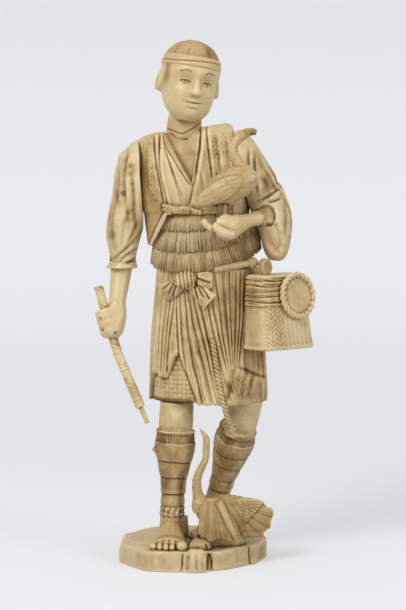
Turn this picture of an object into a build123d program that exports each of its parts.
"""A pegged okimono: a cormorant fisherman with two birds, a creel and a stick, on an oval base.

Millimetres, +Z up. The figure faces -Y. The origin is the middle of the base's underside.
Every section is sawn flat or scribed where it meets its neighbour, and hidden pegs hold the sections together.
"""

import math
import os

from build123d import *

# Fits shared by every joint between sections
peg_clearance = 0.1
seat_gap = 0.2

# Base: an oval plinth with a rock at the front and a mound under the standing bird
base_width = 75.0
base_depth = 74.0
base_height = 9.5
base_corner_radius = 9.0
base_taper = 3.0
base_corners = (
    (-1.0, -0.34),
    (-0.62, -0.94),
    (-0.1, -1.0),
    (0.38, -0.86),
    (0.82, -0.46),
    (1.0, 0.1),
    (0.72, 0.76),
    (0.1, 1.0),
    (-0.6, 0.84),
    (-0.96, 0.3),
)
rock_x = 1.0
rock_half_width = 6.2
rock_half_depth = 4.5
rock_overhang = 1.2
stone_x = 3.0
stone_y = -26.5
stone_half_width = 4.6
stone_half_depth = 3.4
stone_height = 5.5
mound_half_width = 11.0
mound_half_depth = 6.0
mound_height = 8.6
mound_taper = 8.0
stump_x = -4.6
stump_y = 4.6
stump_radius = 1.8
stump_height = 11.0

# Feet on straw half sandals
foot_height = 13.0
heel_length = 8.0
toe_reach = 24.0
foot_half_width = 9.0
sandal_thickness = 1.4
sandal_margin = 0.5
strap_width = 3.0
strap_reach = 19.2
toe_radius = 1.7
toe_length = 3.4
small_toes = 4
big_toe_radius = 2.4
toe_slant = 0.22
toe_taper = 35.0
right_ankle_x = -11.0
right_ankle_y = -8.0
right_foot_heading = -4.0
left_ankle_x = 10.5
left_ankle_y = 20.0
left_foot_heading = -10.0

# Legs: bare knees above banded gaiters
leg_length = 57.5
tenon_length = 6.0
tenon_half_width = 6.2
tenon_half_depth = 6.2
ankle_half_width = 6.0
ankle_half_depth = 6.6
knee_half_width = 8.5
knee_half_depth = 8.4
right_knee_x = -8.5
right_knee_y = -7.0
garter_rise = 0.6
garter_height = 1.3
left_knee_x = 26.0
left_knee_y = -8.0

# Kilt: the pleated robe from the waist to the knees
kilt_x = 7.0
kilt_length = 66.0
hem_half_width = 30.0
hem_half_depth = 23.5
hip_half_width = 28.6
hip_half_depth = 21.5
hip_share = 0.5
kilt_top_half_width = 25.5
kilt_top_half_depth = 18.5
pleat_count = 34
pleat_depth_hem = 1.7
pleat_depth_top = 0.8

# Straw apron in flared tiers
apron_x = 6.0
apron_height = 27.0
apron_half_width = 27.2
apron_half_depth = 20.0
apron_core_half_width = 24.0
apron_core_half_depth = 16.8
apron_core_draw_in = 1.0
apron_tiers = 3
tier_flare = 2.2
tier_tilt = 8.0
tier_narrowing = 1.0
apron_relief = 0.8

# Vest flap that hangs from the torso over the straw on the right flank
flap_drop = 16.0
flap_thickness = 1.6
flap_top_x = -12.7
flap_foot_x = -20.8

# Torso between the two shoulder seams
torso_x = 1.0
torso_height = 41.0
chest_half_width = 27.5
chest_half_depth = 18.0
shoulder_half_width = 26.0
shoulder_half_depth = 13.5
shoulder_tilt = 8.0
waist_draw_in = 1.5
chest_draw_in = 0.5
chest_draw_back = 2.0
shoulder_shift = 5.0
collar_depth = 1.4
collar_opening = 20.0
collar_tip_x = -0.5
collar_tip_rise = 14.0
right_seam_x = -26.6
right_seam_lean = 3.0
left_seam_x = 23.5
left_seam_lean = 10.5

# Head and neck
neck_x = -5.0
neck_y = -2.5
neck_radius = 8.6
neck_set_back = 3.0
neck_socket_depth = 6.0
chin_rise = 4.0
head_x = -2.5
head_y = -4.5
head_tilt = 9.0
head_turn = 15.0
head_height = 40.0
head_half_width = 14.2
head_half_depth = 16.8
band_height = 4.6
band_rise = 7.2
band_thickness = 0.4
band_taper = 14.0
ear_radius = 5.4
ear_thickness = 2.6
ear_set_back = 1.5
ear_drop = 1.7
ear_flare = 80.0
nose_radius = 2.0
nose_length = 7.0

# Right sleeve, forearm and fist
sleeve_length = 68.0
cuff_offset = 9.4
cuff_y = -1.0
cuff_half_width = 8.0
cuff_half_depth = 10.5
cuff_socket_depth = 9.0
forearm_half_width = 5.5
forearm_half_depth = 6.2
forearm_length = 26.0
wrist_half_width = 4.1
wrist_half_depth = 4.6
wrist_shift_x = -2.0
wrist_shift_y = -5.0
grip_shift_x = -4.2
grip_shift_y = -3.0
grip_drop = 9.5
fist_half_width = 6.4
fist_half_depth = 6.6
fist_length = 17.5
finger_radius = 2.0
finger_count = 4

# Stick: a bent cane that turns in the bored fist, with a thin tip
stick_radius = 2.3
stick_play = 0.1
stick_lean = 16.5
stick_forward_lean = 9.0
stick_above_grip = 18.5
stick_below_grip = 16.0
stick_bend = 7.0
stick_lower_length = 29.0
node_rise = 0.35
node_length = 1.8
tip_radius = 1.2
tip_length = 8.5
tip_socket_depth = 4.0

# Left sleeve, hand and the bird it carries
sleeve_bag_drop = 64.0
left_cuff_shift_x = 12.0
left_cuff_y = -11.0
left_cuff_drop = 1.0
left_forearm_radius = 4.8
forearm_insert = 4.5
left_wrist_radius = 4.2
left_palm_shift_x = -20.5
left_palm_y = -27.0
left_palm_drop = 5.0
palm_half_height = 6.6
palm_half_depth = 5.2
left_hand_length = 4.0
left_finger_radius = 1.7
left_finger_length = 7.0
left_finger_curl = 3.6
bird_y = -26.0
bird_lift = 19.3
bird_radius = 7.7
bird_shift_x = 1.2
bird_depth_share = 0.82
bird_length = 28.0
bird_pitch = 28.0
bird_neck_radius = 2.4
bird_neck_height = 22.7
bird_leg_radius = 1.6
bird_leg_spacing = 5.0

# Creel at the left hip, with its round tray and toggle
creel_contact = -40.0
creel_along = 10.0
creel_scribe = 1.4
creel_length = 35.0
creel_depth = 19.0
creel_height = 36.5
creel_drop = 2.5
creel_taper = 2.6
creel_corner_radius = 5.0
creel_wraps = 6
wrap_pitch = 2.6
wrap_rise = 0.8
tray_radius = 10.2
tray_thickness = 2.0
tray_rim_radius = 1.5
tray_along = 5.0
tray_drop = 10.5
toggle_half_width = 3.4
toggle_height = 7.5
toggle_thickness = 3.6
toggle_along = -7.0

# Pieces worn at the waist; a ribbon has its reach, its rise and its half heights midway and at the tip
bow_x = -4.0
bow_drop = 5.0
bow_knot_half_length = 4.6
bow_knot_radius = 4.0
bow_ribbon_half_depth = 2.0
bow_ribbons = (
    (-10.8, -7.4, 4.2, 5.6),
    (13.0, 0.0, 3.8, 4.2),
    (11.8, -10.8, 3.6, 4.8),
)
pipe_start_x = 10.0
pipe_length = 23.0
pipe_turn = 22.0
pipe_slope = 9.0
pipe_radius = 1.7
pipe_knob_radius = 2.6
cord_radius = 1.3
cord_start_x = 9.0
cord_hem_x = 14.5
cord_end_x = 19.0
cord_climb = 32.0
cord_hang = 13.0
cord_bow_aside = 0.5
cord_bow_out = 0.9

# Standing bird on the base, with both wings let down; a tail feather has its reach, rise and half height
standing_x = 5.0
standing_y = -19.0
standing_heading = 16.0
standing_length = 33.0
standing_radius = 8.4
standing_rise = 16.0
near_wing_half_span = 11.0
near_wing_half_thickness = 1.6
near_wing_reach = 8.5
wing_clearance = 4.6
far_wing_half_height = 9.0
far_wing_half_thickness = 2.0
tail_feathers = (
    (1.03, 0.98, 2.6),
    (0.99, 0.62, 2.2),
    (0.88, 0.36, 2.0),
)
standing_neck_radius = 1.75
standing_neck_height = 34.0
standing_neck_bow = 3.4

# Hidden pegs
peg_sides = 8
peg_radius = 2.0
peg_depth = 6.0
thick_peg_radius = 3.0
thick_peg_depth = 8.0
thin_peg_radius = 1.0
thin_peg_depth = 3.0

# Levels worked out from the sizes above
ankle_z = base_height + foot_height
hem_z = ankle_z + leg_length
leg_top_z = hem_z + tenon_length
kilt_top_z = hem_z + kilt_length
apron_top_z = kilt_top_z + apron_height
shoulder_z = apron_top_z + torso_height
cuff_z = shoulder_z - sleeve_length
head_z = shoulder_z + chin_rise + head_height / 2
creel_top_z = kilt_top_z - creel_drop
creel_bottom_z = creel_top_z - creel_height
parts_folder = "parts"


def loft_ellipses(stations, mode=Mode.ADD):
    """Loft through ellipses, each given as a plane, a half width and a half depth."""
    sections = []
    for plane, half_width, half_depth in stations:
        with BuildSketch(plane) as section:
            Ellipse(half_width, half_depth)
        sections.append(section.sketch)
    return loft(sections, mode=mode)


def level(x, y, z, tilt=0.0):
    """A horizontal plane at a point, tipped up towards +X by an angle in degrees."""
    return Plane(Location((x, y, z), (0, -tilt, 0)))


def across(points, first=None, last=None):
    """Planes across a line of points, facing the way it runs unless the ends say otherwise."""
    places = [Vector(*point) for point in points]
    planes = []
    for index, place in enumerate(places):
        facing = places[min(index + 1, len(places) - 1)] - places[max(index - 1, 0)]
        if index == 0 and first is not None:
            facing = Vector(*first)
        if index == len(places) - 1 and last is not None:
            facing = Vector(*last)
        side = Vector(0, 1, 0) if abs(facing.normalized().Y) < 0.9 else Vector(1, 0, 0)
        side = side - facing.normalized() * side.dot(facing.normalized())
        planes.append(Plane(place, x_dir=side, z_dir=facing))
    return planes


def loft_limb(points, depths, widths, first=None, last=None, mode=Mode.ADD):
    """Loft a limb along a line of points; a depth is a half size along Y, a width is across it."""
    return loft_ellipses(list(zip(across(points, first, last), depths, widths)), mode)


def between(start, end, share):
    """The point a share of the way from one point to another."""
    return tuple(a + (b - a) * share for a, b in zip(start, end))


def bore(seat, radius, depth):
    """Cut a round hole across a seat plane, to take a peg that stands half on either side of it."""
    with Locations(seat):
        Cylinder(radius + peg_clearance, 2 * (depth + seat_gap), mode=Mode.SUBTRACT)


def pegs(name, radius, depth, *seats):
    """Write a set of like pegs, each standing half in either section at its seat plane."""
    with BuildPart() as group:
        for seat in seats:
            with BuildSketch(seat.offset(-depth)):
                RegularPolygon(radius, peg_sides)
            extrude(amount=2 * depth)
    write(group.part, name)


def write(piece, name):
    """Label a finished piece and write it as its own file."""
    piece.label = name
    export_step(piece, os.path.join(parts_folder, name + ".step"))


def largest(builder):
    """The main solid of a scribed piece, without loose chips."""
    return Part(builder.part.solids().sort_by(SortBy.VOLUME)[-1].wrapped)


os.makedirs(parts_folder, exist_ok=True)

# Seat planes, each facing out of the section that carries the other
seam_z = apron_top_z + torso_height / 2
right_lean = math.radians(right_seam_lean)
left_lean = math.radians(left_seam_lean)
right_foot_seat = Plane((right_ankle_x, right_ankle_y, base_height))
left_foot_seat = Plane((left_ankle_x, left_ankle_y, base_height))
right_ankle_seat = Plane((right_ankle_x, right_ankle_y, ankle_z))
left_ankle_seat = Plane((left_ankle_x, left_ankle_y, ankle_z))
right_hip_seat = Plane((right_knee_x, right_knee_y, leg_top_z))
left_hip_seat = Plane((left_knee_x, left_knee_y, leg_top_z))
waist_seat = Plane((apron_x, 0, kilt_top_z))
chest_seat = Plane((torso_x, 0, apron_top_z))
neck_seat = Plane((neck_x, neck_y, shoulder_z - neck_socket_depth))
right_seam = Plane(
    (right_seam_x, 0, seam_z),
    x_dir=(0, 1, 0),
    z_dir=(-math.cos(right_lean), 0, -math.sin(right_lean)),
)
left_seam = Plane(
    (left_seam_x, 0, seam_z),
    x_dir=(0, 1, 0),
    z_dir=(math.cos(left_lean), 0, math.sin(left_lean)),
)
bird_seat = Plane(
    (
        standing_x + standing_length * 0.3,
        standing_y + standing_length * 0.3 * math.sin(math.radians(standing_heading)),
        base_height + mound_height,
    )
)

# Base
mound_x = bird_seat.origin.X
mound_y = bird_seat.origin.Y

with BuildPart() as base:
    with BuildSketch():
        with BuildLine():
            Polyline(*[(base_width / 2 * x, base_depth / 2 * y) for x, y in base_corners], close=True)
        make_face()
        fillet(vertices(), base_corner_radius)
    extrude(amount=base_height, taper=base_taper)
    # A rock stands against the front, with a stone behind it and a stump by the heel
    rock_y = rock_half_depth - base_depth / 2 - rock_overhang
    loft_ellipses(
        [
            (level(rock_x, rock_y, 0), rock_half_width, rock_half_depth),
            (level(rock_x, rock_y, base_height * 0.6), rock_half_width * 0.94, rock_half_depth),
            (
                level(rock_x, rock_y + rock_overhang, base_height * 1.1),
                rock_half_width * 0.5,
                rock_half_depth * 0.6,
            ),
        ]
    )
    loft_ellipses(
        [
            (level(stone_x, stone_y, base_height / 2), stone_half_width, stone_half_depth),
            (level(stone_x, stone_y, base_height + stone_height * 0.6), stone_half_width, stone_half_depth),
            (
                level(stone_x, stone_y, base_height + stone_height),
                stone_half_width * 0.6,
                stone_half_depth * 0.6,
            ),
        ]
    )
    # The standing bird sits on a mound
    with BuildSketch(Plane((mound_x, mound_y, base_height / 2)).rotated((0, 0, standing_heading))):
        Ellipse(mound_half_width, mound_half_depth)
    extrude(amount=base_height / 2 + mound_height, taper=mound_taper)
    with Locations((stump_x, stump_y, base_height)):
        Cylinder(stump_radius, stump_height, align=(Align.CENTER, Align.CENTER, Align.MIN))
    for seat in (right_foot_seat, left_foot_seat):
        bore(seat, peg_radius, peg_depth)
    bore(bird_seat, peg_radius, peg_depth)
write(base.part, "base")
pegs("base_pegs", peg_radius, peg_depth, right_foot_seat, left_foot_seat, bird_seat)


# Feet
def foot(seat, heading, inner_side):
    """One foot on its half sandal, toes towards -Y, before it is turned to its heading."""
    sole = sandal_thickness
    instep = (
        (-heel_length, 0.38, 0.42),
        (-heel_length * 0.5, 0.62, 0.8),
        (0.0, 0.7, 0.95),
        (toe_reach * 0.4, 0.82, 0.74),
        (toe_reach * 0.7, 0.96, 0.46),
        (toe_reach * 0.92, 0.94, 0.24),
    )
    with BuildPart() as piece:
        loft_ellipses(
            [
                (Plane.XZ.offset(reach), foot_half_width * width, (foot_height - sole) * height + sole)
                for reach, width, height in instep
            ]
        )
        loft_ellipses(
            [
                (level(0, 0, sole), ankle_half_width * 1.05, ankle_half_depth * 1.05),
                (level(0, 0, foot_height), ankle_half_width, ankle_half_depth),
            ]
        )
        # A big toe on the inner side and a row of small ones, then the strap across them
        toes = [(inner_side * (foot_half_width - big_toe_radius), big_toe_radius)]
        pitch = 2 * (foot_half_width - big_toe_radius) / (small_toes + 0.3)
        for index in range(small_toes):
            toes.append((-inner_side * (foot_half_width - toe_radius - index * pitch), toe_radius))
        for x, radius in toes:
            y = -toe_reach + max(0, -inner_side * x) * toe_slant
            with BuildSketch(Plane((x, y + toe_length, radius), z_dir=(0, -1, 0))):
                Circle(radius)
            extrude(amount=toe_length)
            with BuildSketch(Plane((x, y, radius), z_dir=(0, -1, 0))):
                Circle(radius)
            extrude(amount=radius * 0.6, taper=toe_taper)
        with BuildSketch(Plane.XZ.offset(strap_reach)):
            Ellipse(foot_half_width + sandal_margin, (foot_height - sole) * 0.38 + sole)
        extrude(amount=strap_width / 2, both=True)
        with BuildSketch():
            with Locations((0, (heel_length - strap_reach) / 2)):
                Ellipse(foot_half_width, (heel_length + strap_reach) / 2 + sandal_margin)
        extrude(amount=sandal_thickness)
        split(bisect_by=Plane.XY, keep=Keep.TOP)
        split(bisect_by=Plane.XY.offset(foot_height), keep=Keep.BOTTOM)
        bore(Plane.XY, peg_radius, peg_depth)
        bore(Plane.XY.offset(foot_height), peg_radius, peg_depth)
    return piece.part.moved(Location(seat.origin, (0, 0, heading)))


right_foot = foot(right_foot_seat, right_foot_heading, 1)
write(right_foot, "right_foot")
left_foot = foot(left_foot_seat, left_foot_heading, -1)
write(left_foot, "left_foot")
pegs("ankle_pegs", peg_radius, peg_depth, right_ankle_seat, left_ankle_seat)

# Legs: shares of the leg's length, half depth, half width and how far the calf stands back
gaiter_sections = (
    (0.0, ankle_half_depth, ankle_half_width, 0.0),
    (0.22, 6.2, 5.7, 0.0),
    (0.38, 7.4, 7.0, 0.6),
    (0.56, 9.6, 9.4, 1.2),
    (0.74, 9.4, 9.3, 0.4),
)
knee_sections = (
    (0.6, knee_half_depth * 0.94, knee_half_width * 0.94, 0.0),
    (0.82, knee_half_depth, knee_half_width, 0.0),
    (1.0, knee_half_depth * 0.97, knee_half_width * 0.97, 0.0),
)


def leg(ankle, hip):
    """One leg from its ankle seat to the tenon that stands in the kilt."""
    start = tuple(ankle.origin)
    end = (hip.origin.X, hip.origin.Y, hem_z)
    with BuildPart() as piece:
        for sections, last in ((gaiter_sections, None), (knee_sections, (0, 0, 1))):
            points = []
            for share, depth, width, back in sections:
                x, y, z = between(start, end, share)
                points.append((x, y + back, z))
            first = (0, 0, 1) if sections is gaiter_sections else None
            loft_limb(
                points,
                [section[1] for section in sections],
                [section[2] for section in sections],
                first,
                last,
            )
        for share, depth, width, back in (gaiter_sections[1], gaiter_sections[-1]):
            x, y, z = between(start, end, share)
            with BuildSketch(across([(x, y + back, z), end])[0]):
                Ellipse(depth + garter_rise, width + garter_rise)
            extrude(amount=garter_height / 2, both=True)
        with BuildSketch(Plane(end)):
            Ellipse(tenon_half_width, tenon_half_depth)
        extrude(amount=tenon_length)
        bore(ankle, peg_radius, peg_depth)
        bore(hip, peg_radius, peg_depth)
    return piece.part


right_leg = leg(right_ankle_seat, right_hip_seat)
write(right_leg, "right_leg")
left_leg = leg(left_ankle_seat, left_hip_seat)
write(left_leg, "left_leg")
pegs("hip_pegs", peg_radius, peg_depth, right_hip_seat, left_hip_seat)

# The creel stands off the kilt's flank at a contact angle round the hip
contact = math.radians(creel_contact)
creel_normal = Vector(math.cos(contact) / hip_half_width, math.sin(contact) / hip_half_depth, 0).normalized()
creel_run = Vector(-creel_normal.Y, creel_normal.X, 0)
flank = Vector(kilt_x + hip_half_width * math.cos(contact), hip_half_depth * math.sin(contact), 0)
creel_inner = flank - creel_normal * creel_scribe
creel_middle = creel_inner + creel_normal * (creel_depth / 2) + creel_run * creel_along
creel_peg_z = creel_bottom_z + creel_height / 2
creel_seat = Plane(flank + Vector(0, 0, creel_peg_z), z_dir=creel_normal)

# Kilt
kilt_stations = (
    (level(kilt_x, 0, hem_z), hem_half_width, hem_half_depth),
    (level(kilt_x, 0, hem_z + kilt_length * hip_share), hip_half_width, hip_half_depth),
    (level(kilt_x, 0, kilt_top_z), kilt_top_half_width, kilt_top_half_depth),
)

with BuildPart() as kilt_envelope:
    loft_ellipses(kilt_stations[:2])
    loft_ellipses(kilt_stations[1:])


def pleated(plane, half_width, half_depth, depth):
    """The kilt's outline at one level: knife pleats between a crest line and a valley line."""
    corners = []
    for index in range(2 * pleat_count):
        angle = math.pi * index / pleat_count
        inset = depth * (index % 2)
        corners.append(((half_width - inset) * math.cos(angle), (half_depth - inset) * math.sin(angle)))
    with BuildSketch(plane) as outline:
        with BuildLine():
            Polyline(*corners, close=True)
        make_face()
    return outline.sketch


with BuildPart() as kilt:
    pleat_depths = (pleat_depth_hem, (pleat_depth_hem + pleat_depth_top) / 2, pleat_depth_top)
    loft([pleated(*station, depth) for station, depth in zip(kilt_stations, pleat_depths)], ruled=True)
    for seat in (right_hip_seat, left_hip_seat):
        with BuildSketch(Plane((seat.origin.X, seat.origin.Y, hem_z))):
            Ellipse(tenon_half_width + peg_clearance, tenon_half_depth + peg_clearance)
        extrude(amount=tenon_length, mode=Mode.SUBTRACT)
        bore(seat, peg_radius, peg_depth)
    bore(waist_seat, thick_peg_radius, thick_peg_depth)
    bore(creel_seat, peg_radius, peg_depth)
write(kilt.part, "kilt")
pegs("waist_peg", thick_peg_radius, thick_peg_depth, waist_seat)
pegs("creel_peg", peg_radius, peg_depth, creel_seat)

# Straw apron
tier_pitch = apron_height / apron_tiers
tier_rise = (apron_half_width - tier_flare) * math.sin(math.radians(tier_tilt))


def apron_tier(index):
    """Planes and half sizes of one flared tier, counted from the bottom."""
    low = kilt_top_z + index * tier_pitch + tier_rise * (1 - index / apron_tiers)
    tilt = tier_tilt * (1 - index / apron_tiers)
    inset = index * tier_narrowing
    return [
        (level(apron_x, 0, low, tilt), apron_half_width - inset, apron_half_depth - inset),
        (
            level(apron_x, 0, low + tier_pitch * 1.05, tilt),
            apron_half_width - inset - tier_flare,
            apron_half_depth - inset - tier_flare,
        ),
    ]


with BuildPart() as straw_apron:
    loft_ellipses(
        [
            (level(apron_x, 0, kilt_top_z), apron_core_half_width, apron_core_half_depth),
            (
                level(apron_x, 0, apron_top_z),
                apron_core_half_width - apron_core_draw_in,
                apron_core_half_depth - apron_core_draw_in,
            ),
        ]
    )
    for index in range(apron_tiers):
        loft_ellipses(apron_tier(index))
    split(bisect_by=chest_seat, keep=Keep.BOTTOM)
    bore(waist_seat, thick_peg_radius, thick_peg_depth)
    bore(chest_seat, thick_peg_radius, thick_peg_depth)
write(straw_apron.part, "straw_apron")
pegs("chest_peg", thick_peg_radius, thick_peg_depth, chest_seat)


# Vest flap: it carries the torso's flank down over the apron, and is cut along a slanting front edge
flap_foot_z = apron_top_z - flap_drop
flap_grow = seat_gap + flap_thickness
with BuildPart() as vest_flap:
    loft_ellipses(
        [
            (level(apron_x, 0, flap_foot_z), apron_half_width + flap_grow, apron_half_depth + flap_grow),
            (level(torso_x, 0, apron_top_z), chest_half_width - waist_draw_in, chest_half_depth),
        ]
    )
    with BuildSketch(Plane((apron_x, 0, flap_foot_z))):
        Ellipse(apron_half_width + seat_gap, apron_half_depth + seat_gap)
    extrude(amount=flap_drop, mode=Mode.SUBTRACT)
    with BuildSketch(Plane.XZ):
        with BuildLine():
            Polyline(
                (flap_top_x, apron_top_z),
                (flap_foot_x, flap_foot_z),
                (apron_x - 2 * apron_half_width, flap_foot_z),
                (apron_x - 2 * apron_half_width, apron_top_z),
                close=True,
            )
        make_face()
    extrude(amount=2 * apron_half_depth, both=True, mode=Mode.INTERSECT)
write(vest_flap.part, "vest_flap")


# Torso
def robe(inset):
    """Loft the robe's trunk, drawn in by an inset for the chest under the collar."""
    loft_ellipses(
        [
            (
                level(torso_x, 0, apron_top_z),
                chest_half_width - waist_draw_in - inset,
                chest_half_depth - inset,
            ),
            (
                level(torso_x - shoulder_shift * 0.2, 0, apron_top_z + torso_height * 0.38, shoulder_tilt / 4),
                chest_half_width - inset,
                chest_half_depth - inset,
            ),
            (
                level(torso_x - shoulder_shift * 0.6, 0, apron_top_z + torso_height * 0.72, shoulder_tilt / 2),
                chest_half_width - chest_draw_in - inset,
                chest_half_depth - chest_draw_back - inset,
            ),
            (
                level(torso_x - shoulder_shift, 0, apron_top_z + torso_height * 0.9, shoulder_tilt),
                shoulder_half_width - inset,
                shoulder_half_depth - inset,
            ),
            (
                level(neck_x, neck_y / 2, shoulder_z, shoulder_tilt / 2),
                shoulder_half_width * 0.55 - inset,
                shoulder_half_depth * 0.72 - inset,
            ),
        ]
    )


with BuildPart() as torso:
    robe(0)
    with BuildSketch(Plane.XZ):
        with BuildLine():
            Polyline(
                (neck_x - collar_opening / 2, shoulder_z + collar_depth),
                (neck_x + collar_opening / 2, shoulder_z + collar_depth),
                (collar_tip_x, apron_top_z + collar_tip_rise),
                close=True,
            )
        make_face()
    extrude(amount=chest_half_depth * 2, mode=Mode.SUBTRACT)
    robe(collar_depth)
    split(bisect_by=right_seam, keep=Keep.BOTTOM)
    split(bisect_by=left_seam, keep=Keep.BOTTOM)
    with Locations(neck_seat):
        Cylinder(
            neck_radius + peg_clearance,
            neck_socket_depth + shoulder_half_depth,
            align=(Align.CENTER, Align.CENTER, Align.MIN),
            mode=Mode.SUBTRACT,
        )
    bore(chest_seat, thick_peg_radius, thick_peg_depth)
    bore(neck_seat, thick_peg_radius, thick_peg_depth)
    bore(right_seam, peg_radius, peg_depth)
    bore(left_seam, peg_radius, peg_depth)
write(torso.part, "torso")
pegs("neck_peg", thick_peg_radius, thick_peg_depth, neck_seat)
pegs("shoulder_pegs", peg_radius, peg_depth, right_seam, left_seam)

# Head: height along its axis, width and depth as shares of its half sizes, and how far forward
head_sections = (
    (-0.97, 0.36, 0.30, 7.0),
    (-0.80, 0.66, 0.54, 5.2),
    (-0.50, 0.86, 0.80, 2.4),
    (0.0, 0.98, 0.98, 0.0),
    (0.38, 1.0, 1.0, 0.0),
    (0.70, 0.84, 0.85, 0.0),
    (0.92, 0.48, 0.50, 0.0),
    (1.0, 0.16, 0.17, 0.0),
)
head_frame = Location((head_x, head_y, head_z), (0, head_tilt, head_turn))


def head_plane(x, y, z):
    """A plane square to the head's own axis, at a place in the head's frame."""
    return Plane(head_frame * Location((x, y, z)))


with BuildPart() as head:
    loft_ellipses(
        [
            (
                head_plane(0, -forward, head_height / 2 * share),
                head_half_width * width,
                head_half_depth * depth,
            )
            for share, width, depth, forward in head_sections
        ]
    )
    # Neck
    loft_ellipses(
        [
            (neck_seat, neck_radius, neck_radius),
            (Plane((neck_x, neck_y, shoulder_z)), neck_radius, neck_radius),
            (
                Plane((head_x, head_y + neck_set_back, head_z - head_height * 0.22)),
                neck_radius * 0.9,
                neck_radius * 0.95,
            ),
        ]
    )
    # Headband
    with BuildSketch(head_plane(0, 0, band_rise)):
        Ellipse(head_half_width + band_thickness, head_half_depth + band_thickness)
    extrude(amount=band_height, taper=band_taper)
    # Ears
    for side in (-1, 1):
        ear_place = Location((side * head_half_width * 0.94, ear_set_back, -ear_drop), (0, side * ear_flare, 0))
        with BuildSketch(Plane(head_frame * ear_place)):
            Ellipse(ear_radius, ear_radius * 0.6)
        extrude(amount=ear_thickness, both=True)
    # Nose
    loft_ellipses(
        [
            (head_plane(0, -head_half_depth * 0.93, 1), nose_radius * 0.5, nose_radius * 0.6),
            (head_plane(0, -head_half_depth * 1.0, 1 - nose_length), nose_radius, nose_radius * 1.1),
        ]
    )
    bore(neck_seat, thick_peg_radius, thick_peg_depth)
write(head.part, "head")

# Right sleeve: share of its length from the cuff, distance out from the seam, half width, half depth
right_sleeve_sections = (
    (0.0, cuff_offset, cuff_y, cuff_half_width, cuff_half_depth),
    (0.22, 8.2, 0.0, 8.4, 12.0),
    (0.42, 5.4, 0.0, 9.6, 13.5),
    (0.66, 1.6, 0.0, 10.8, 14.0),
    (0.82, 0.6, 0.0, 9.0, 12.0),
    (0.90, 0.4, 0.0, 4.6, 8.0),
    (0.935, 0.4, 0.0, 1.8, 4.0),
)
cuff_x = right_seam_x - cuff_offset
cuff_seat = Plane((cuff_x, cuff_y, cuff_z + cuff_socket_depth))

with BuildPart() as right_sleeve:
    loft_ellipses(
        [
            (level(right_seam_x - out, y, cuff_z + sleeve_length * share), half_width, half_depth)
            for share, out, y, half_width, half_depth in right_sleeve_sections
        ]
    )
    split(bisect_by=right_seam, keep=Keep.TOP)
    with BuildSketch(Plane((cuff_x, cuff_y, cuff_z))):
        Ellipse(forearm_half_width + peg_clearance, forearm_half_depth + peg_clearance)
    extrude(amount=cuff_socket_depth, mode=Mode.SUBTRACT)
    bore(right_seam, peg_radius, peg_depth)
    bore(cuff_seat, peg_radius, peg_depth)
write(right_sleeve.part, "right_sleeve")

# Right forearm and fist, bored for the stick
wrist = (cuff_x + wrist_shift_x, cuff_y + wrist_shift_y, cuff_z + cuff_socket_depth - forearm_length)
grip = (wrist[0] + grip_shift_x, wrist[1] + grip_shift_y, wrist[2] - grip_drop)
stick_up = Vector(-math.tan(math.radians(stick_lean)), math.tan(math.radians(stick_forward_lean)), 1)
stick_line = Plane(grip, x_dir=(0, 1, -stick_up.Y), z_dir=stick_up)

with BuildPart() as right_hand:
    with BuildSketch(Plane((cuff_x, cuff_y, cuff_z))):
        Ellipse(forearm_half_width, forearm_half_depth)
    extrude(amount=cuff_socket_depth)
    loft_ellipses(
        [
            (level(*wrist), wrist_half_width, wrist_half_depth),
            (Plane((cuff_x, cuff_y, cuff_z)), forearm_half_width, forearm_half_depth),
        ]
    )
    fist_stations = (
        (0.0, 0.0, wrist_half_width, wrist_half_depth),
        (0.3, 0.45, fist_half_width * 0.9, fist_half_depth * 0.9),
        (0.6, 0.85, fist_half_width, fist_half_depth),
        (0.88, 1.0, fist_half_width * 0.84, fist_half_depth * 0.84),
        (1.0, 1.0, fist_half_width * 0.5, fist_half_depth * 0.5),
    )
    loft_ellipses(
        [
            (
                level(
                    wrist[0] + grip_shift_x * 0.6 * move,
                    wrist[1] + grip_shift_y * move,
                    wrist[2] - fist_length * share,
                ),
                half_width,
                half_depth,
            )
            for share, move, half_width, half_depth in fist_stations
        ]
    )
    # Fingers close round the stick
    finger_pitch = 1.8 * finger_radius
    knuckle = stick_radius + stick_play + 1.8 * finger_radius
    for index in range(finger_count):
        middle = (index - (finger_count - 1) / 2) * finger_pitch
        finger_profile = (
            (0, middle - finger_pitch / 2),
            (knuckle - finger_radius * 0.7, middle - finger_pitch / 2),
            (knuckle, middle - finger_pitch / 5),
            (knuckle, middle + finger_pitch / 5),
            (knuckle - finger_radius * 0.7, middle + finger_pitch / 2),
            (0, middle + finger_pitch / 2),
        )
        with BuildSketch(Plane(stick_line.origin, x_dir=stick_line.x_dir, z_dir=-stick_line.y_dir)):
            with BuildLine():
                Polyline(*finger_profile, close=True)
            make_face()
        revolve(axis=Axis(stick_line.origin, stick_line.z_dir))
    with Locations(stick_line):
        Cylinder(stick_radius + stick_play, 3 * fist_length, mode=Mode.SUBTRACT)
    bore(cuff_seat, peg_radius, peg_depth)
write(right_hand.part, "right_hand")
pegs("cuff_peg", peg_radius, peg_depth, cuff_seat)


# Stick
def cane(plane, length, radius, nodes):
    """Revolve a cane that runs down from a plane, with a raised ring at each node."""
    profile = [(0, 0), (radius, 0)]
    for node in nodes:
        profile += [
            (radius, -node + node_length / 2),
            (radius + node_rise, -node),
            (radius, -node - node_length / 2),
        ]
    profile += [(radius, -length), (0, -length)]
    with BuildSketch(Plane(plane.origin, x_dir=plane.x_dir, z_dir=-plane.y_dir)) as outline:
        with BuildLine():
            Polyline(*profile, close=True)
        make_face()
    revolve(outline.sketch, axis=Axis(plane.origin, plane.z_dir))


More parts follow.
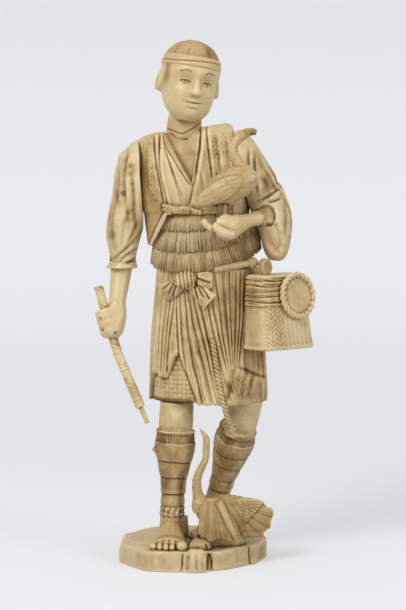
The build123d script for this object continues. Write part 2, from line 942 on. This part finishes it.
stick_head = stick_line.offset(stick_above_grip)
stick_knee = stick_line.offset(-stick_below_grip)
lower_lean = math.radians(stick_lean + stick_bend)
lower_up = Vector(-math.tan(lower_lean), stick_up.Y, 1)
stick_lower = Plane(stick_knee.origin, x_dir=(0, 1, -lower_up.Y), z_dir=lower_up)
stick_foot = stick_lower.offset(-stick_lower_length)

with BuildPart() as stick:
    cane(stick_head, stick_above_grip + stick_below_grip, stick_radius, ())
    with Locations(stick_knee):
        Sphere(stick_radius + node_rise / 2)
    cane(stick_lower, stick_lower_length, stick_radius, (stick_lower_length * 0.3, stick_lower_length * 0.85))
    bore(stick_foot, tip_radius, tip_socket_depth)
write(stick.part, "stick")

with BuildPart() as stick_tip:
    with Locations(stick_foot.offset(tip_socket_depth)):
        Cylinder(
            tip_radius,
            tip_socket_depth + tip_length,
            align=(Align.CENTER, Align.CENTER, Align.MAX),
        )
    fillet(stick_tip.edges().filter_by(GeomType.CIRCLE).group_by(Axis.Z)[0], tip_radius * 0.6)
write(stick_tip.part, "stick_tip")

# Left sleeve: drop from the shoulder, distance out from the seam, Y, half width, half depth
left_sleeve_sections = (
    (1.0, 17.2, -5.0, 3.0, 6.0),
    (0.94, 17.2, -5.0, 5.8, 10.0),
    (0.80, 16.6, -5.0, 8.0, 13.0),
    (0.60, 13.6, -4.0, 10.0, 14.0),
    (0.41, 7.8, -1.0, 11.0, 13.5),
    (0.22, 1.2, 0.0, 10.8, 12.5),
    (0.08, -2.2, 0.0, 8.2, 10.0),
    (0.0, -3.8, 0.0, 4.2, 6.5),
)
left_cuff = (left_seam_x + left_cuff_shift_x, left_cuff_y, apron_top_z - left_cuff_drop)
left_palm = (left_cuff[0] + left_palm_shift_x, left_palm_y, left_cuff[2] - left_palm_drop)
left_wrist = between(left_cuff, left_palm, 0.58)
left_elbow = between(left_cuff, left_palm, -forearm_insert / math.dist(left_cuff, left_palm))
knuckles = (left_palm[0] - left_hand_length, left_palm[1], left_palm[2])


def left_arm(grow, mode=Mode.ADD):
    """Loft the forearm and open hand, grown all round for the hole that it enters."""
    points = (left_elbow, left_cuff, left_wrist, left_palm, knuckles)
    forearm = [left_forearm_radius, left_forearm_radius, left_wrist_radius]
    depths = forearm + [palm_half_depth, palm_half_depth * 0.8]
    heights = forearm + [palm_half_height, palm_half_height * 0.7]
    loft_limb(points, [depth + grow for depth in depths], [height + grow for height in heights], mode=mode)


with BuildPart() as left_sleeve:
    loft_ellipses(
        [
            (
                level(left_seam_x + out, y, shoulder_z - sleeve_bag_drop * share),
                half_width,
                half_depth,
            )
            for share, out, y, half_width, half_depth in left_sleeve_sections
        ]
    )
    split(bisect_by=left_seam, keep=Keep.TOP)
    loft_ellipses(
        [
            (level(apron_x, 0, kilt_top_z), apron_half_width + apron_relief, apron_half_depth + apron_relief),
            (level(apron_x, 0, apron_top_z), apron_half_width + apron_relief, apron_half_depth + apron_relief),
        ],
        mode=Mode.SUBTRACT,
    )
    left_arm(peg_clearance, mode=Mode.SUBTRACT)
    bore(left_seam, peg_radius, peg_depth)
write(left_sleeve.part, "left_sleeve")

with BuildPart() as left_hand:
    left_arm(0)
    # Fingers side by side, curled up under the bird: place across the palm and share of the full length
    for row, reach in ((-1.5, 0.9), (-0.5, 1.0), (0.5, 0.96), (1.5, 0.78)):
        y = knuckles[1] + row * 1.7 * left_finger_radius
        length = left_finger_length * reach
        loft_limb(
            [
                (knuckles[0] + left_finger_radius, y, knuckles[2]),
                (knuckles[0] - length * 0.5, y, knuckles[2]),
                (knuckles[0] - length, y, knuckles[2] + left_finger_curl),
            ],
            [left_finger_radius, left_finger_radius, left_finger_radius * 0.7],
            [left_finger_radius, left_finger_radius, left_finger_radius * 0.7],
        )
    # The thumb lies in front of the palm
    thumb_y = left_palm[1] - palm_half_depth
    loft_limb(
        [
            (left_palm[0] + left_hand_length, thumb_y + left_finger_radius, left_palm[2] - left_finger_curl),
            (
                left_palm[0] - left_hand_length / 2,
                thumb_y - left_finger_radius * 0.4,
                left_palm[2] - left_finger_curl / 2,
            ),
            (knuckles[0] - left_finger_radius, thumb_y, left_palm[2] + left_finger_curl / 2),
        ],
        [left_finger_radius * 1.2, left_finger_radius * 1.3, left_finger_radius * 0.8],
        [left_finger_radius * 1.3, left_finger_radius * 1.4, left_finger_radius * 0.8],
    )
write(left_hand.part, "left_hand")

# Bird on the left hand
bird_z = left_palm[2] + bird_lift
bird_slope = math.radians(bird_pitch)
bird_axis = (math.cos(bird_slope), math.sin(bird_slope))


def on_bird(reach):
    """A point on the bird's body axis, measured from its middle towards the chest."""
    return (left_palm[0] + bird_shift_x + bird_axis[0] * reach, bird_y, bird_z + bird_axis[1] * reach)


with BuildPart() as held_bird:
    body_reach = (-0.64, -0.36, -0.08, 0.2, 0.42, 0.54)
    body_girth = (0.26, 0.66, 0.98, 1.04, 0.82, 0.36)
    loft_limb(
        [on_bird(bird_length * reach) for reach in body_reach],
        [bird_radius * bird_depth_share * girth for girth in body_girth],
        [bird_radius * girth for girth in body_girth],
    )
    nape = on_bird(bird_length * 0.3)
    neck_line = (
        (1.0, -0.06, 2.1),
        (0.2, 0.19, 1.6),
        (-3.2, 0.4, 1.15),
        (-4.8, 0.6, 1.0),
        (-3.3, 0.8, 0.95),
        (0.3, 0.945, 1.05),
        (2.6, 0.985, 0.9),
        (6.6, 0.965, 0.34),
    )
    loft_limb(
        [(nape[0] + shift, bird_y, nape[2] + bird_neck_height * rise) for shift, rise, girth in neck_line],
        [bird_neck_radius * girth for shift, rise, girth in neck_line],
        [bird_neck_radius * girth for shift, rise, girth in neck_line],
    )
    for side in (-0.5, 0.5):
        with Locations((left_palm[0] + side * bird_leg_spacing, left_palm_y, left_palm[2])):
            Cylinder(bird_leg_radius, bird_lift, align=(Align.CENTER, Align.CENTER, Align.MIN))
    add(left_hand.part, mode=Mode.SUBTRACT)
write(largest(held_bird), "held_bird")

# Creel
def creel_plane(rise):
    """A level plane in the creel, moved in as the creel narrows so that its inner face stays upright."""
    shift = creel_taper * rise / creel_height
    origin = creel_middle + Vector(0, 0, creel_bottom_z + rise) - creel_normal * shift
    return Plane(origin, x_dir=tuple(creel_run), z_dir=(0, 0, 1))


def creel_outline(rise, grow=0.0):
    """The creel's rounded outline at a height above its bottom."""
    narrow = 2 * creel_taper * rise / creel_height - 2 * grow
    with BuildSketch(creel_plane(rise)) as section:
        RectangleRounded(creel_length - narrow, creel_depth - narrow, creel_corner_radius)
    return section.sketch


tray_wall = creel_depth / 2 - creel_taper * (1 - tray_drop / creel_height) + wrap_rise
tray_lean = Vector(0, 0, 2 * creel_taper / creel_height)
tray_seat = Plane(
    creel_plane(creel_height - tray_drop).origin + creel_run * tray_along + creel_normal * tray_wall,
    x_dir=tuple(creel_run),
    z_dir=creel_normal + tray_lean,
)
toggle_seat = Plane(creel_plane(creel_height).origin + creel_run * toggle_along)

with BuildPart() as creel:
    loft([creel_outline(0), creel_outline(creel_height)])
    for index in range(creel_wraps):
        low = creel_height - (index + 1) * wrap_pitch
        loft(
            [
                creel_outline(low),
                creel_outline(low + wrap_pitch / 2, wrap_rise),
                creel_outline(low + wrap_pitch),
            ],
            ruled=True,
        )
    add(kilt_envelope.part, mode=Mode.SUBTRACT)
    bore(creel_seat, peg_radius, peg_depth)
    bore(tray_seat, thin_peg_radius, thin_peg_depth)
    bore(toggle_seat, thin_peg_radius, thin_peg_depth)
write(creel.part, "creel")

with BuildPart() as tray:
    with Locations(tray_seat):
        Cylinder(tray_radius, tray_thickness, align=(Align.CENTER, Align.CENTER, Align.MIN))
    with BuildSketch(Plane(tray_seat.origin, x_dir=tray_seat.x_dir, z_dir=-tray_seat.y_dir)):
        with Locations((tray_radius, tray_rim_radius)):
            RegularPolygon(tray_rim_radius, peg_sides, rotation=180 / peg_sides)
    revolve(axis=Axis(tray_seat.origin, tray_seat.z_dir))
    add(creel.part, mode=Mode.SUBTRACT)
    with Locations(tray_seat):
        Cylinder(thin_peg_radius + peg_clearance, tray_thickness + seat_gap, mode=Mode.SUBTRACT)
write(tray.part, "creel_tray")

with BuildPart() as toggle:
    with BuildSketch(Plane(toggle_seat.origin, x_dir=tuple(creel_run), z_dir=creel_normal)):
        with Locations((0, toggle_height / 2)):
            Ellipse(toggle_half_width, toggle_height / 2 + thin_peg_radius / 2)
    extrude(amount=toggle_thickness / 2, both=True)
    split(bisect_by=toggle_seat, keep=Keep.TOP)
    bore(toggle_seat, thin_peg_radius, thin_peg_depth)
write(toggle.part, "creel_toggle")

with BuildPart() as creel_pins:
    with BuildSketch(toggle_seat.offset(-thin_peg_depth)):
        RegularPolygon(thin_peg_radius, peg_sides)
    extrude(amount=2 * thin_peg_depth)
    with BuildSketch(tray_seat.offset(-thin_peg_depth)):
        RegularPolygon(thin_peg_radius, peg_sides)
    extrude(amount=thin_peg_depth + tray_thickness / 2)
write(creel_pins.part, "creel_pins")

# Sash bow
bow_z = kilt_top_z - bow_drop


def kilt_front(x, z):
    """Y of the kilt's front between the hip and the waist."""
    share = (kilt_top_z - z) / (kilt_length * (1 - hip_share))
    half_width = kilt_top_half_width + (hip_half_width - kilt_top_half_width) * share
    half_depth = kilt_top_half_depth + (hip_half_depth - kilt_top_half_depth) * share
    return -half_depth * math.sqrt(1 - min(abs(x - kilt_x) / half_width, 0.98) ** 2)


with BuildPart() as bow:
    knot_y = kilt_front(bow_x, bow_z) - bow_knot_radius * 0.5
    ends = (-1.0, -0.8, 0.0, 0.8, 1.0)
    loft_limb(
        [(bow_x + bow_knot_half_length * end, knot_y, bow_z) for end in ends],
        [bow_knot_radius * (1 - 0.55 * abs(end) ** 3) for end in ends],
        [bow_knot_radius * (1 - 0.5 * abs(end) ** 3) for end in ends],
    )
    for reach, rise, middle_half_height, tip_half_height in bow_ribbons:
        ribbon_line = [(bow_x, knot_y, bow_z)]
        for share in (0.55, 1.0):
            x, z = bow_x + reach * share, bow_z + rise * share
            ribbon_line.append((x, kilt_front(x, z) - bow_ribbon_half_depth * 0.7, z))
        loft_limb(
            ribbon_line,
            [bow_ribbon_half_depth * 0.8, bow_ribbon_half_depth, bow_ribbon_half_depth * 0.8],
            [bow_knot_radius * 0.6, middle_half_height, tip_half_height],
        )
    add(kilt_envelope.part, mode=Mode.SUBTRACT)
    add(straw_apron.part, mode=Mode.SUBTRACT)
write(largest(bow), "sash_bow")

# Pipe case tucked into the sash
pipe_angle = math.radians(pipe_turn)
pipe_run = Vector(math.cos(pipe_angle), math.sin(pipe_angle), math.tan(math.radians(pipe_slope)))
pipe_start = Vector(pipe_start_x, kilt_front(pipe_start_x, kilt_top_z) - pipe_radius * 2.2, kilt_top_z)

with BuildPart() as pipe_case:
    knob_start = pipe_length - 2 * pipe_knob_radius
    pipe_profile = (
        (0, 0),
        (pipe_radius * 0.8, 0),
        (pipe_radius, pipe_length / 2),
        (pipe_radius, knob_start),
        (pipe_knob_radius, knob_start + pipe_knob_radius * 0.5),
        (pipe_knob_radius, pipe_length - pipe_knob_radius * 0.5),
        (pipe_knob_radius * 0.6, pipe_length),
        (0, pipe_length),
    )
    pipe_side = Vector(-pipe_run.Y, pipe_run.X, 0)
    with BuildSketch(Plane(pipe_start, x_dir=pipe_side, z_dir=pipe_side.cross(pipe_run))):
        with BuildLine():
            Polyline(*pipe_profile, close=True)
        make_face()
    revolve(axis=Axis(pipe_start, pipe_run))
    add(kilt_envelope.part, mode=Mode.SUBTRACT)
    add(straw_apron.part, mode=Mode.SUBTRACT)
    add(creel.part, mode=Mode.SUBTRACT)
write(largest(pipe_case), "pipe_case")


# Cord down the front of the kilt, hanging past the hem
def hem_front(x):
    """Y of the kilt's front at its hem."""
    across_hem = min(abs(x - kilt_x) / hem_half_width, 0.98)
    return -hem_half_depth * math.sqrt(1 - across_hem**2)


with BuildPart() as cord:
    loft_limb(
        [
            (cord_start_x, -hip_half_depth, hem_z + cord_climb),
            (
                (cord_start_x + cord_hem_x) / 2 - cord_bow_aside,
                -hip_half_depth - cord_bow_out,
                hem_z + cord_climb / 2,
            ),
            (cord_hem_x, hem_front(cord_hem_x) - cord_radius * 0.3, hem_z),
            (cord_end_x, hem_front(cord_hem_x) - cord_radius * 0.3, hem_z - cord_hang),
        ],
        [cord_radius, cord_radius, cord_radius, cord_radius * 1.2],
        [cord_radius, cord_radius, cord_radius, cord_radius * 1.2],
    )
    add(kilt_envelope.part, mode=Mode.SUBTRACT)
write(largest(cord), "braided_cord")

# Standing bird
heading = math.radians(standing_heading)


def on_standing(reach, rise, aside=0.0):
    """A point by the standing bird's body axis, from the chest towards the tail."""
    return (
        standing_x + math.cos(heading) * reach - math.sin(heading) * aside,
        standing_y + math.sin(heading) * reach + math.cos(heading) * aside,
        base_height + rise,
    )


with BuildPart() as standing_bird:
    body_line = (
        (-0.1, 1.12, 0.35),
        (0.08, 1.06, 0.8),
        (0.32, 1.0, 1.0),
        (0.62, 0.95, 0.86),
        (0.88, 0.86, 0.52),
        (1.04, 0.8, 0.34),
    )
    loft_limb(
        [on_standing(standing_length * reach, standing_rise * rise) for reach, rise, girth in body_line],
        [standing_radius * girth for reach, rise, girth in body_line],
        [standing_radius * girth for reach, rise, girth in body_line],
    )
    # The near wing hangs like a fan in front of the chest
    wing_foot = on_standing(standing_length * 0.17, wing_clearance, -near_wing_reach - near_wing_half_thickness)
    wing_middle = on_standing(standing_length * 0.12, standing_rise * 0.8, -near_wing_reach)
    wing_top = on_standing(standing_length * 0.1, standing_rise * 1.5, -near_wing_reach * 0.2)
    loft_ellipses(
        [
            (Plane(wing_foot), near_wing_half_span, near_wing_half_thickness),
            (Plane(wing_middle), near_wing_half_span * 0.84, near_wing_half_thickness * 1.7),
            (Plane(wing_top), near_wing_half_span * 0.4, near_wing_half_thickness * 1.5),
        ]
    )
    # The far wing is spread along the body as far as the tail
    far_wing_line = (
        (0.2, 1.1, 0.55),
        (0.45, 0.98, 0.92),
        (0.75, 0.84, 1.0),
        (0.92, 0.8, 0.72),
        (0.98, 0.8, 0.45),
    )
    wing_aside = -standing_radius * 0.55
    loft_limb(
        [
            on_standing(standing_length * reach, standing_rise * rise, wing_aside)
            for reach, rise, height in far_wing_line
        ],
        [far_wing_half_thickness] * len(far_wing_line),
        [far_wing_half_height * height for reach, rise, height in far_wing_line],
    )
    # Blunt tail feathers stand out past the wing in steps
    for reach, rise, half_height in tail_feathers:
        loft_limb(
            [
                on_standing(standing_length * share, standing_rise * rise, wing_aside)
                for share in (reach - 0.35, reach)
            ],
            [far_wing_half_thickness * 0.7] * 2,
            [half_height] * 2,
        )
    # Neck and head, bowed like an S
    neck_foot = on_standing(0, standing_rise * 1.5)
    neck_line = (
        (-0.2, 0.3, 2.4),
        (0.0, 0.0, 1.9),
        (0.2, -0.4, 1.3),
        (0.33, -0.2, 1.18),
        (0.45, 0.35, 1.04),
        (0.58, 0.9, 0.95),
        (0.74, 1.0, 1.0),
        (0.86, 1.0, 0.9),
        (0.94, 0.6, 0.6),
        (1.0, 0.1, 0.3),
    )
    loft_limb(
        [
            (
                neck_foot[0] + standing_neck_bow * (bow_out - 0.7),
                neck_foot[1],
                neck_foot[2] + standing_neck_height * rise,
            )
            for rise, bow_out, girth in neck_line
        ],
        [standing_neck_radius * girth for rise, bow_out, girth in neck_line],
        [standing_neck_radius * girth for rise, bow_out, girth in neck_line],
    )
    split(bisect_by=Plane.XY.offset(base_height), keep=Keep.TOP)
    add(base.part, mode=Mode.SUBTRACT)
    bore(bird_seat, peg_radius, peg_depth)
write(largest(standing_bird), "standing_bird")
